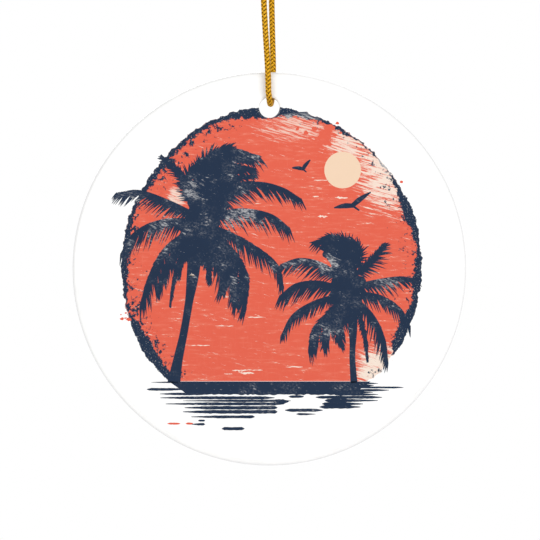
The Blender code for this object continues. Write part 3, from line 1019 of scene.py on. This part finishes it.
# %% Ink that has worn a little
# Middle and radii of the places where the dark ink is worn most.
RUBBED_PLACES = [
    ((-12.4, 15.2), (4.0, 4.8)), ((-14.3, -1.2), (1.3, 0.8)), ((-4.5, 9.0), (6.0, 2.8)),
    ((-21.8, 9.0), (4.6, 2.8)), ((10.0, 1.4), (4.6, 2.2)), ((-5.6, -1.8), (3.0, 2.0)),
    ((14.4, -11.4), (3.2, 0.9)),
]


def make_ink(name, colour, worn_colour, wear, rubbed_places=()):
    """Gloss-coated ink with pale dry-brush scuffs and flecks, more of them in the rubbed places."""
    material = bpy.data.materials.new(name)
    tree, shader = plain_tree(material)
    position = millimetres(tree)
    patches = noise_at(tree, position, 0.28, detail=2)
    streaks = noise_at(tree, position, 1.7, detail=5, roughness=0.75, stretch=(0.45, 1, 2.0), tilt=-20)
    flecks = noise_at(tree, position, 3.6, detail=3, stretch=(0.7, 1, 1.4))
    worn = sums(tree, "MULTIPLY_ADD", sums(tree, "SUBTRACT", patches, 0.5), 0.8, streaks)
    mottle = fade(tree, noise_at(tree, position, 2.8, detail=4, roughness=0.7), 0.46, 0.70)
    thin = all_of(tree, mottle, fade(tree, patches, 0.44, 0.60), wear, 0.17)
    faded = painted(tree, thin, colour, worn_colour)
    x, _, z = separated(tree, position)
    for centre, radii in rubbed_places:
        rubbed = fade(tree, ellipse(tree, x, z, centre, radii), 1.2, 0.3)
        worn = sums(tree, "MULTIPLY_ADD", rubbed, 0.14, worn)
    scuffed = all_of(tree, fade(tree, worn, 0.63, 0.76), fade(tree, flecks, 0.36, 0.60), wear)
    spots = all_of(tree, fade(tree, flecks, 0.70, 0.74), wear, 0.8)
    result = painted(tree, sums(tree, "MAXIMUM", scuffed, spots), faded, worn_colour)
    tree.links.new(result, shader.inputs["Base Color"])
    surface = use_group(tree, surface_waves, {"Position": position, "Waves": 1.0, "Pinholes": 0.5})
    tree.links.new(surface["Normal"], shader.inputs["Normal"])
    tree.links.new(sums(tree, "MULTIPLY_ADD", flecks, 0.1, COAT_ROUGHNESS - 0.04), shader.inputs["Roughness"])
    shader.inputs["IOR"].default_value = COAT_IOR
    print(name, "has", len(tree.nodes), "nodes")
    return material


navy_ink = make_ink("navy_ink", NAVY, NAVY_WORN, wear=0.8, rubbed_places=RUBBED_PLACES)
bird_ink = make_ink("bird_ink", NAVY, NAVY_WORN, wear=0.2)
cream_ink = make_ink("cream_ink", CREAM, linear(240, 208, 176), wear=0.35)
wash_ink = make_ink("wash_ink", WASH, CORAL_PALE, wear=0.9)
coral_ink = make_ink("coral_ink", CORAL, CORAL_PALE, wear=0.5)

# %% [markdown]
# ## The palms
#
# A palm frond is one arching rib with narrow leaflets on both sides. They
# leave the rib steeply near the trunk, lie along it near the tip, and hang as
# far as their weight pulls them. So a frond is a curve through a few chosen
# points, and each leaflet a curved taper set off from it, with a little chance
# in its length and angle. The chance comes from one seeded generator, so the
# drawing is the same every time.

# %% Draw one leaflet and one frond
chance = random.Random(41)
LEAFLET_STEPS = (0.0, 0.3, 0.62, 0.86)
LEAFLET_TAPER = (1.5, 1.3, 0.8, 0.42)
BARE_SHARE = 0.06  # how much of the rib carries no leaflets, next to the trunk


def leaflet(root, direction, length, width, sag):
    """Outline of a curved taper that starts at root and is pulled down towards its tip."""
    down = Vector((0, -sag * length))
    normal = Vector((-direction.y, direction.x))
    left, right = [], []
    for share, taper in zip(LEAFLET_STEPS, LEAFLET_TAPER):
        middle = root + direction * length * share + down * share * share
        left.append(middle + normal * width * taper / 2)
        right.append(middle - normal * width * taper / 2)
    return [tuple(point) for point in left + [root + direction * length + down] + right[::-1]]


def band(line, widths):
    """Outline of a strip along a line whose width runs through these values."""
    along = np.gradient(line, axis=0)
    along /= np.linalg.norm(along, axis=1)[:, None]
    normal = np.stack([-along[:, 1], along[:, 0]], axis=1)
    share = np.linspace(0, 1, len(line))
    half = np.interp(share, np.linspace(0, 1, len(widths)), widths)[:, None] / 2
    left, right = line + normal * half, line - normal * half
    return [tuple(point) for point in np.concatenate([left, right[::-1]])]


def frond(points, leaf, above, below, hang, rib=0.9, spacing=0.29, width=0.29):
    """Outlines of one frond: its rib through the points, and leaflets up to leaf millimetres long."""
    line = evenly_spaced(smooth_curve([Vector(point) for point in points]), spacing)
    outlines = [band(line, (rib, rib * 0.6, 0.15))]
    along = np.gradient(line, axis=0)
    outer = 1 if points[-1][0] > points[0][0] else -1  # the side of the rib that faces the sky
    for index, (place, heading) in enumerate(zip(line, along)):
        share = index / (len(line) - 1)
        if share < BARE_SHARE:
            continue
        fullness = math.sin(math.pi * (0.16 + 0.74 * share)) ** 0.6
        heading = Vector(heading).normalized()
        for side in (1, -1):
            lean = math.radians(60 - 42 * share + chance.uniform(-7, 7)) * side
            direction = Vector(
                (
                    heading.x * math.cos(lean) - heading.y * math.sin(lean),
                    heading.x * math.sin(lean) + heading.y * math.cos(lean),
                )
            )
            reach = above if side == outer else below
            direction = (direction + Vector((0, -hang * (0.5 + 0.2 * share)))).normalized()
            length = leaf * reach * fullness * chance.uniform(0.66, 1.14)
            outlines.append(leaflet(Vector(place), direction, length, width, 0.12 + 0.2 * hang))
    return outlines


# %% Draw the left palm
def blob(centre, radii, points=34, roughness=0.16):
    """A rough rounded patch of ink."""
    outline = []
    for index in range(points):
        turn = 2 * math.pi * index / points
        size = 1 + chance.uniform(-roughness, roughness)
        x = centre[0] + radii[0] * size * math.cos(turn)
        z = centre[1] + radii[1] * size * math.sin(turn)
        outline.append((x, z))
    return outline


LEFT_TRUNK = [
    (-13.4, 6.0), (-13.9, 1.5), (-14.2, -1.4), (-14.7, -5.0), (-15.8, -11.6), (-17.0, -17.2), (-17.7, -21.2),
]
LEFT_TRUNK_WIDTHS = (2.8, 2.6, 2.2, 1.5, 1.4, 1.5, 1.8, 2.4)
# Rib points, leaflet length, its share on the sky side and on the other side, how far leaflets hang.
LEFT_FRONDS = [
    ([(-11.5, 13.0), (-10.8, 18.6), (-7.4, 21.9), (-2.2, 20.9)], 5.2, 0.34, 1.00, 0.25),
    ([(-13.4, 12.0), (-13.4, 17.0), (-11.4, 20.6), (-7.4, 22.6)], 3.2, 1.00, 0.80, 0.05),
    ([(-14.4, 12.0), (-15.2, 15.0), (-14.8, 17.4), (-12.8, 20.0)], 2.8, 1.00, 0.70, 0.05),
    ([(-10.8, 12.6), (-8.0, 14.6), (-5.4, 15.8), (-3.0, 16.2)], 1.6, 0.40, 1.00, 0.15),
    ([(-12.0, 12.0), (-10.8, 16.4), (-7.4, 19.0), (-3.2, 18.6)], 4.0, 0.60, 1.00, 0.25),
    ([(-11.6, 12.4), (-8.4, 15.8), (-5.6, 17.0), (-2.9, 17.3)], 2.0, 0.55, 1.10, 0.30),
    ([(-11.8, 10.6), (-7.0, 14.4), (-2.4, 15.9), (2.2, 15.0), (5.8, 12.9)], 4.2, 0.16, 1.00, 0.35),
    ([(-11.8, 9.8), (-5.4, 10.9), (0.0, 10.1), (3.6, 7.6)], 4.8, 0.16, 1.00, 0.40),
    ([(-12.0, 8.4), (-6.6, 6.2), (-1.4, 3.2), (1.6, 0.4), (2.5, -3.2)], 4.0, 0.24, 1.00, 0.35),
    ([(-11.6, 7.0), (-7.0, 3.6), (-4.2, -1.4), (-4.4, -7.4)], 5.2, 0.20, 1.00, 0.30),
    ([(-12.0, 6.4), (-9.0, 3.0), (-6.6, -1.6), (-6.2, -6.6)], 4.6, 0.70, 1.00, 0.30),
    ([(-12.0, 6.0), (-9.6, 2.4), (-8.4, -1.0), (-8.6, -4.2)], 4.4, 0.60, 1.00, 0.30),
    ([(-14.0, 7.6), (-19.2, 3.8), (-22.2, -1.4), (-23.9, -7.0)], 4.8, 0.16, 1.00, 0.35),
    ([(-14.4, 6.4), (-17.6, 2.8), (-19.6, -0.8), (-20.8, -4.4)], 3.4, 0.40, 0.90, 0.30),
    ([(-14.8, 5.0), (-17.0, 0.8), (-17.9, -3.0), (-18.4, -6.8)], 1.5, 0.40, 0.90, 0.25),
    ([(-14.0, 9.0), (-20.2, 8.8), (-25.0, 6.6), (-27.4, 2.8)], 4.4, 0.20, 1.00, 0.45),
    ([(-13.8, 10.0), (-19.0, 12.6), (-24.0, 14.4), (-28.2, 14.0)], 3.8, 0.16, 1.00, 0.40),
    ([(-13.4, 12.2), (-16.0, 16.6), (-18.0, 19.2), (-19.8, 20.6)], 3.0, 0.70, 0.90, 0.05),
    ([(-13.0, 4.4), (-15.4, 2.6), (-16.4, 0.8), (-16.8, -1.6)], 2.0, 0.60, 0.80, 0.20),
    ([(-13.0, 3.4), (-11.9, 1.8), (-11.2, 0.0), (-11.0, -2.6)], 2.2, 0.60, 0.80, 0.20),
]
# Middle and radii of the patches where the crown is too thick to see through.
LEFT_PATCHES = [
    ((-12.8, 6.8), (4.0, 4.2)), ((-11.4, 12.2), (3.6, 4.6)), ((-9.6, 17.4), (3.6, 3.4)),
    ((-10.4, 3.4), (2.8, 2.8)), ((-13.4, 3.4), (3.0, 2.8)),
]


def draw_palm(trunk, widths, fronds, patches):
    """The layers of one palm: its trunk and the thick of its crown, and then a layer for each frond."""
    stem = band(evenly_spaced(smooth_curve([Vector(point) for point in trunk]), 0.8), widths)
    thick = [stem, *[blob(*patch) for patch in patches]]
    return [thick, *[frond(*values) for values in fronds]]


left_drawing = draw_palm(LEFT_TRUNK, LEFT_TRUNK_WIDTHS, LEFT_FRONDS, LEFT_PATCHES)
print("leaflets and ribs in the left palm:", sum(len(layer) for layer in left_drawing))
cut_film("left_palm", left_drawing, navy_ink)

# %% Draw the right palm
RIGHT_TRUNK = [(15.0, -4.0), (15.4, -9.0), (15.5, -12.6), (15.4, -16.6), (15.7, -21.1)]
RIGHT_TRUNK_WIDTHS = (2.4, 2.0, 1.7, 1.1, 1.1, 1.3)
RIGHT_FRONDS = [
    ([(14.2, 0.0), (14.2, 3.4), (12.0, 5.6), (8.4, 4.9)], 3.6, 0.60, 0.95, 0.20),
    ([(14.8, 0.0), (15.2, 3.0), (14.0, 5.2), (11.0, 6.0)], 3.0, 0.90, 0.90, 0.05),
    ([(15.2, 0.0), (16.6, 2.0), (16.6, 3.8), (15.4, 5.2)], 2.8, 0.95, 0.85, 0.05),
    ([(15.8, -1.2), (18.0, 0.6), (19.6, 2.4), (21.2, 4.4)], 3.4, 0.50, 1.00, 0.15),
    ([(15.6, -3.4), (19.8, -2.3), (24.0, -1.6), (27.2, -1.9)], 3.4, 0.16, 1.00, 0.40),
    ([(15.8, -4.4), (20.6, -5.2), (24.2, -7.4), (26.0, -10.6)], 3.6, 0.20, 0.95, 0.30),
    ([(15.8, -5.4), (19.2, -8.8), (21.2, -12.8), (21.9, -17.4)], 4.0, 0.16, 0.95, 0.30),
    ([(16.6, -8.0), (17.6, -12.0), (18.0, -14.4), (18.2, -16.9)], 1.1, 0.80, 1.00, 0.20),
    ([(14.4, -6.0), (13.2, -9.4), (12.8, -11.8), (13.2, -14.0)], 3.6, 0.50, 0.90, 0.25),
    ([(13.8, -5.6), (10.6, -8.6), (8.2, -11.6), (7.4, -15.2)], 5.0, 0.24, 0.95, 0.25),
    ([(14.0, -5.8), (11.8, -9.4), (10.4, -12.0), (10.0, -14.2)], 4.2, 0.60, 0.90, 0.25),
    ([(13.6, -4.8), (8.4, -6.2), (4.4, -8.6), (2.3, -12.4)], 3.0, 0.16, 1.00, 0.35),
    ([(13.4, -3.6), (9.0, -2.5), (5.0, -2.9), (2.1, -5.0)], 4.8, 0.16, 1.00, 0.35),
    ([(13.6, -1.6), (9.4, 1.0), (5.6, 1.8), (2.3, 0.8)], 4.0, 0.16, 1.00, 0.40),
]
RIGHT_PATCHES = [
    ((14.6, -3.6), (3.2, 3.8)), ((14.2, -7.4), (2.4, 2.4)), ((14.0, 1.8), (2.9, 3.4)),
    ((12.6, 3.6), (3.0, 2.4)),
]
right_drawing = draw_palm(RIGHT_TRUNK, RIGHT_TRUNK_WIDTHS, RIGHT_FRONDS, RIGHT_PATCHES)
print("leaflets and ribs in the right palm:", sum(len(layer) for layer in right_drawing))
cut_film("right_palm", right_drawing, navy_ink)

# %% [markdown]
# ## Water, birds, moon and drops
#
# The water is one dark band under the sky and then single brush strokes that
# get shorter and thinner towards the viewer, with a bare patch left where the
# light would fall. Every stroke is a long lens shape with a wavering edge.

# %% Draw the water
STROKE_STEP = 0.45


def stroke(start, end, height, thickness, left_taper=0.25, right_taper=0.2, waver=0.07):
    """Outline of a level brush stroke; a taper is the share of it over which an end thins out."""
    count = max(8, int((end - start) / STROKE_STEP))
    upper, lower = [], []
    for index in range(count + 1):
        share = index / count
        fullness = min(1.0, share / left_taper + 0.12, (1 - share) / right_taper + 0.12) ** 0.8
        x = start + (end - start) * share
        upper.append((x, height + thickness * fullness * (0.5 + chance.uniform(-waver, waver))))
        lower.append((x, height - thickness * fullness * (0.5 + chance.uniform(-waver, waver))))
    return upper + lower[::-1]


# Start, end, height, thickness, left taper, right taper.
WATER_STROKES = [
    (-21.9, -15.0, -21.05, 0.26, 0.4, 0.1), (-22.7, -14.5, -22.35, 0.50, 0.1, 0.5),
    (-20.3, -12.0, -23.20, 0.48, 0.4, 0.1), (-20.2, 1.0, -23.92, 0.56, 0.3, 0.1),
    (-16.0, 4.0, -24.48, 0.44, 0.5, 0.1), (-19.2, 2.8, -25.05, 0.56, 0.4, 0.1),
    (-15.7, 1.5, -25.76, 0.64, 0.3, 0.02), (-16.0, 1.5, -26.52, 0.66, 0.3, 0.02),
    (-14.5, -2.7, -27.45, 0.54, 0.5, 0.02), (17.0, 20.2, -21.25, 0.30, 0.1, 0.5),
    (14.0, 19.4, -21.65, 0.44, 0.1, 0.3), (14.0, 24.9, -22.00, 0.34, 0.1, 0.15),
    (14.0, 22.2, -22.50, 0.42, 0.1, 0.3), (12.0, 19.2, -22.90, 0.44, 0.1, 0.3),
    (12.0, 20.2, -23.30, 0.44, 0.1, 0.4), (8.6, 20.9, -23.82, 0.54, 0.1, 0.2),
    (10.3, 20.1, -24.42, 0.62, 0.05, 0.7), (9.8, 17.4, -25.05, 0.66, 0.1, 0.5),
    (9.3, 16.9, -25.62, 0.60, 0.1, 0.3), (2.9, 9.9, -26.22, 0.58, 0.15, 0.2),
    (5.0, 8.6, -26.95, 0.38, 0.1, 0.6), (3.6, 6.4, -23.70, 0.46, 0.1, 0.2),
    (0.8, 3.6, -24.60, 0.84, 0.1, 0.4), (-13.2, -11.9, -28.15, 0.34, 0.2, 0.1),
    (-14.4, -11.9, -28.82, 0.44, 0.6, 0.1), (-8.8, -4.6, -29.65, 0.58, 0.08, 0.08),
]
BAND_ENDS = (-18.6, 17.9)
BAND_BOTTOM = -23.35


def water_band():
    """The dark band just under the sky, slanted at its left end and ragged below."""
    left, right = BAND_ENDS
    places = np.arange(left + 3.4, right - 2.4, STROKE_STEP)
    lower = [(x, BAND_BOTTOM + chance.uniform(-0.12, 0.12)) for x in places]
    return [(right + 0.9, HORIZON - 0.1), (left, HORIZON - 0.1), *lower, (right + 0.2, HORIZON - 0.6)]


water_outlines = [water_band(), *[stroke(*values) for values in WATER_STROKES]]
cut_film("water", [water_outlines], navy_ink)

# %% Draw the birds and the moon
def bird(body, left_tip, right_tip, tail, size):
    """Outlines of a gliding bird: two swept wings, a body and a short tail."""
    body, tail = Vector(body), Vector(tail)
    outlines = [blob(body, (0.42 * size, 0.30 * size), points=12, roughness=0.05)]
    for tip in (Vector(left_tip), Vector(right_tip)):
        elbow = body.lerp(tip, 0.45) + Vector((0, 0.10 * size))
        wing = evenly_spaced(smooth_curve([body, elbow, tip], substeps=6), 0.25)
        outlines.append(band(wing, (0.6 * size, 0.74 * size, 0.56 * size, 0.20)))
    tail_line = evenly_spaced(np.array([tuple(body), tuple(tail)]), 0.25)
    outlines.append(band(tail_line, (0.36 * size, 0.20 * size)))
    beak = body + Vector((0.55 * size, 0.05 * size))
    beak_line = evenly_spaced(np.array([tuple(body), tuple(beak)]), 0.2)
    outlines.append(band(beak_line, (0.3 * size, 0.05)))
    return outlines


small_bird = bird((6.2, 18.5), (4.2, 18.7), (7.6, 20.2), (6.9, 17.9), 1.0)
large_bird = bird((15.4, 11.7), (12.0, 11.3), (18.8, 14.2), (16.7, 10.8), 1.35)
cut_film("birds", [small_bird + large_bird], bird_ink)
MOON_CENTRE = (13.6, 18.3)
MOON_RADIUS = 3.4
moon_outline = blob(MOON_CENTRE, (MOON_RADIUS, MOON_RADIUS), points=72, roughness=0.004)
cut_film("moon", [[moon_outline]], cream_ink)

# %% Throw the coral drops
def spatter(centre, spread, count, largest):
    """Drops thrown round a centre, the largest near it."""
    drops = []
    for _ in range(count):
        turn, away = chance.uniform(0, 2 * math.pi), chance.random()
        size = largest * (1 - 0.8 * away) * chance.uniform(0.5, 1)
        x = centre[0] + spread[0] * away * math.cos(turn)
        z = centre[1] + spread[1] * away * math.sin(turn)
        radii = (size, size * chance.uniform(0.6, 1))
        drops.append(blob((x, z), radii, points=11, roughness=0.22))
    return drops


# Middle and size of the drops that ran together, and of a few single ones.
SPLASH = [
    ((11.1, 26.0), 1.05), ((10.2, 24.6), 1.2), ((9.4, 23.2), 0.65), ((10.4, 21.7), 0.5), ((12.6, 27.0), 0.34),
    ((10.6, 23.4), 0.7), ((8.9, 24.2), 0.5), ((7.6, 24.2), 0.28), ((5.2, 25.9), 0.36), ((13.2, 25.2), 0.3),
    ((8.4, 26.0), 0.5), ((6.8, 25.2), 0.45), ((12.1, 24.8), 0.42), ((11.2, 23.1), 0.42), ((24.5, 16.1), 0.32),
    ((-26.0, -9.4), 0.42), ((-27.3, -9.3), 0.34), ((-26.6, -8.2), 0.2), ((-27.5, -8.5), 0.14),
]
# Middle, spread, number of drops, size of the largest.
SPATTERS = [
    ((-26.4, -9.2), (1.5, 1.0), 10, 0.2),
    ((10.6, 24.6), (2.4, 2.6), 22, 0.3),
    ((22.4, -15.8), (0.9, 1.4), 9, 0.26),
]
CORAL_STROKES = [(-18.9, -16.5, -28.7, 0.36), (-15.5, -14.1, -28.7, 0.38)]
drop_outlines = []
for middle, size in SPLASH:
    drop_outlines.append(blob(middle, (size, 0.8 * size), points=18, roughness=0.24))
for values in SPATTERS:
    drop_outlines += spatter(*values)
drop_outlines += [stroke(*values) for values in CORAL_STROKES]
cut_film("coral_drops", [drop_outlines], coral_ink)

# %% Scrape the picture
# Start, end, height, thickness.
SCRAPES = [
    (-6.9, -4.3, -18.85, 0.18), (-5.3, -2.8, -19.35, 0.26), (-4.8, -3.2, -18.75, 0.14),
    (-8.4, -6.8, -19.5, 0.12), (-14.7, -13.9, -1.2, 0.45), (-5.8, -4.9, -19.15, 0.14),
    (-3.4, -1.2, -18.8, 0.12), (9.0, 10.8, 9.7, 0.34), (12.2, 14.6, 13.2, 0.30), (8.0, 9.2, 13.4, 0.18),
    (3.0, 4.4, 12.9, 0.14), (8.2, 11.0, 16.4, 0.14), (-10.0, -6.6, -10.6, 0.16),
    (-4.0, -0.6, -9.0, 0.14), (3.0, 6.2, -18.2, 0.18), (-14.4, -11.0, -14.2, 0.14),
]
cut_film("scrapes", [[stroke(*values, waver=0.45) for values in SCRAPES]], wash_ink)

# %% [markdown]
# ## Light and floor
#
# A white object on white needs its light shaped with care: the printed face
# must reach full white while the rounded rim stays a shade darker, or the disc
# would vanish. Two soft boxes stand well to the sides, so that the glossy face
# never mirrors them into the lens, and the one on the right is the stronger. A
# third lights the back. The sky is full white only where the camera looks
# straight at it, and a pale floor below throws light up on to the lower rim.

# %% Set the lights
bpy.context.scene.view_settings.view_transform = "Standard"
world = bpy.data.worlds.new("white_studio")
bpy.context.scene.world = world
world.use_nodes = True
sky_tree = world.node_tree
sky_tree.nodes.clear()
SKY_SEEN = 1.0
SKY_LIGHT = 0.69
sees = add_node(sky_tree, "LightPath").outputs["Is Camera Ray"]
strength = sums(sky_tree, "MULTIPLY_ADD", sees, SKY_SEEN - SKY_LIGHT, SKY_LIGHT)
sky_shader = add_node(sky_tree, "Background", {"Color": (1, 1, 1, 1), "Strength": strength})
add_node(sky_tree, "OutputWorld", {"Surface": sky_shader.outputs[0]})


def softbox(name, direction, distance, size, watts):
    """A square area light that faces the disc's middle."""
    data = bpy.data.lights.new(name, "AREA")
    data.size = size
    data.energy = watts
    light = bpy.data.objects.new(name, data)
    bpy.context.scene.collection.objects.link(light)
    away = Vector(direction).normalized()
    light.location = DISC_CENTRE + away * distance
    light.rotation_euler = away.to_track_quat("Z", "Y").to_euler()


softbox("right_softbox", (0.9, -1.0, -0.1), distance=0.9, size=0.5, watts=3.6)
softbox("left_softbox", (-0.75, -1.0, 0.3), distance=0.9, size=0.5, watts=1.7)
softbox("back_softbox", (-0.1, 1.0, 0.5), distance=1.0, size=0.6, watts=3.0)

# %% Lay the floor
FLOOR_TOP = DISC_CENTRE.z - 0.06
FLOOR_SIZE = (0.6, 0.36, 0.01)
FLOOR_BACK = 0.09
FLOOR_EDGE = 0.002


def make_floor():
    """A pale board with softened edges."""
    bm = bmesh.new()
    bmesh.ops.create_cube(bm, size=1)
    bmesh.ops.scale(bm, verts=bm.verts, vec=FLOOR_SIZE)
    middle = (0, FLOOR_BACK - FLOOR_SIZE[1] / 2, FLOOR_TOP - FLOOR_SIZE[2] / 2)
    bmesh.ops.translate(bm, verts=bm.verts, vec=middle)
    bmesh.ops.bevel(
        bm, geom=bm.edges[:], offset=FLOOR_EDGE, offset_type="OFFSET",
        affect="EDGES", segments=3, profile=0.5, material=-1,
    )
    return finished_piece("floor", bm)


def make_floor_paint():
    material = bpy.data.materials.new("pale_floor")
    tree, shader = plain_tree(material)
    dust = noise_at(tree, add_node(tree, "TexCoord").outputs["Object"], 60)
    colour = painted(tree, dust, linear(252, 252, 252), linear(247, 247, 247))
    tree.links.new(colour, shader.inputs["Base Color"])
    shader.inputs["Roughness"].default_value = 0.6
    return material


floor = make_floor()
floor.data.materials.append(make_floor_paint())
